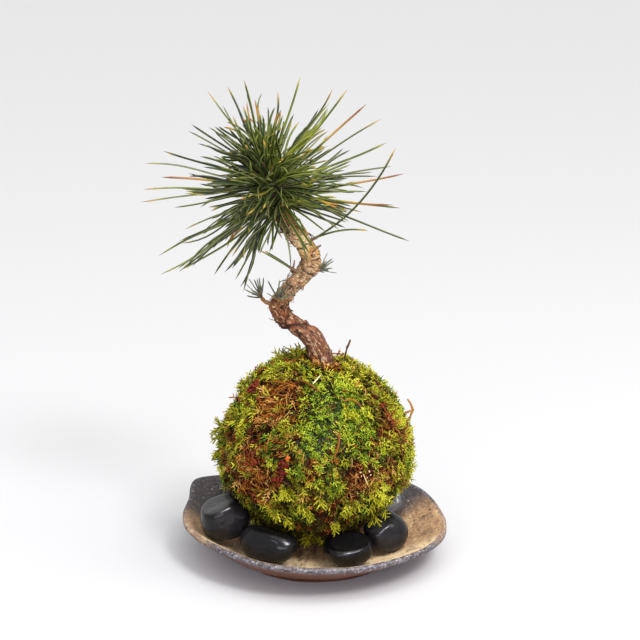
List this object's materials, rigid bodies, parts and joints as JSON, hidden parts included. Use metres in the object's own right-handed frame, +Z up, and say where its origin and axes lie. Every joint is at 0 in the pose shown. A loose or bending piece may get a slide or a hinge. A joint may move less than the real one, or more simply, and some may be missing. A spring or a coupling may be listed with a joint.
{
  "type": "kokedama moss ball plant",
  "caption": "Young pine with a bent trunk growing from a moss ball, set among polished pebbles on a wavy shallow stoneware dish.",
  "frame": {"origin": "on the table under the middle of the whole object's bounding box", "axes": "+Z up, +X to the right and +Y away, as seen from the front"},
  "size_m": [0.1504, 0.129, 0.2443],
  "materials": {
    "stoneware": "matt stoneware, charcoal to tan, with a blue-grey speckled lip",
    "pebble": "black, polished",
    "soil": "dark, damp, crumbly",
    "moss": "fine feathery fronds, yellow-green with rust-brown dry patches",
    "bark": "flaky, tan above and red-brown below",
    "needle": "satin, green with yellowed tips",
    "young_needle": "matt grey-green",
    "thread": "dark brown, matt",
    "dry_twig": "dry, matt"
  },
  "bodies": {
    "root": {"dish": "stoneware", "pebble_1": "pebble", "pebble_2": "pebble", "pebble_3": "pebble", "pebble_4": "pebble", "pebble_5": "pebble", "pebble_6": "pebble", "pebble_7": "pebble", "pebble_8": "pebble", "soil_ball": "soil", "moss_skin": "moss", "binding_thread": "thread", "trunk": "bark", "needle_crown": "needle", "sprig_left": "young_needle", "sprig_front": "young_needle", "sprig_right": "young_needle", "lone_needles_left": "needle", "lone_needles_right": "needle", "dry_twig_right": "dry_twig", "dry_twig_top": "dry_twig"}
  },
  "joints": []
}
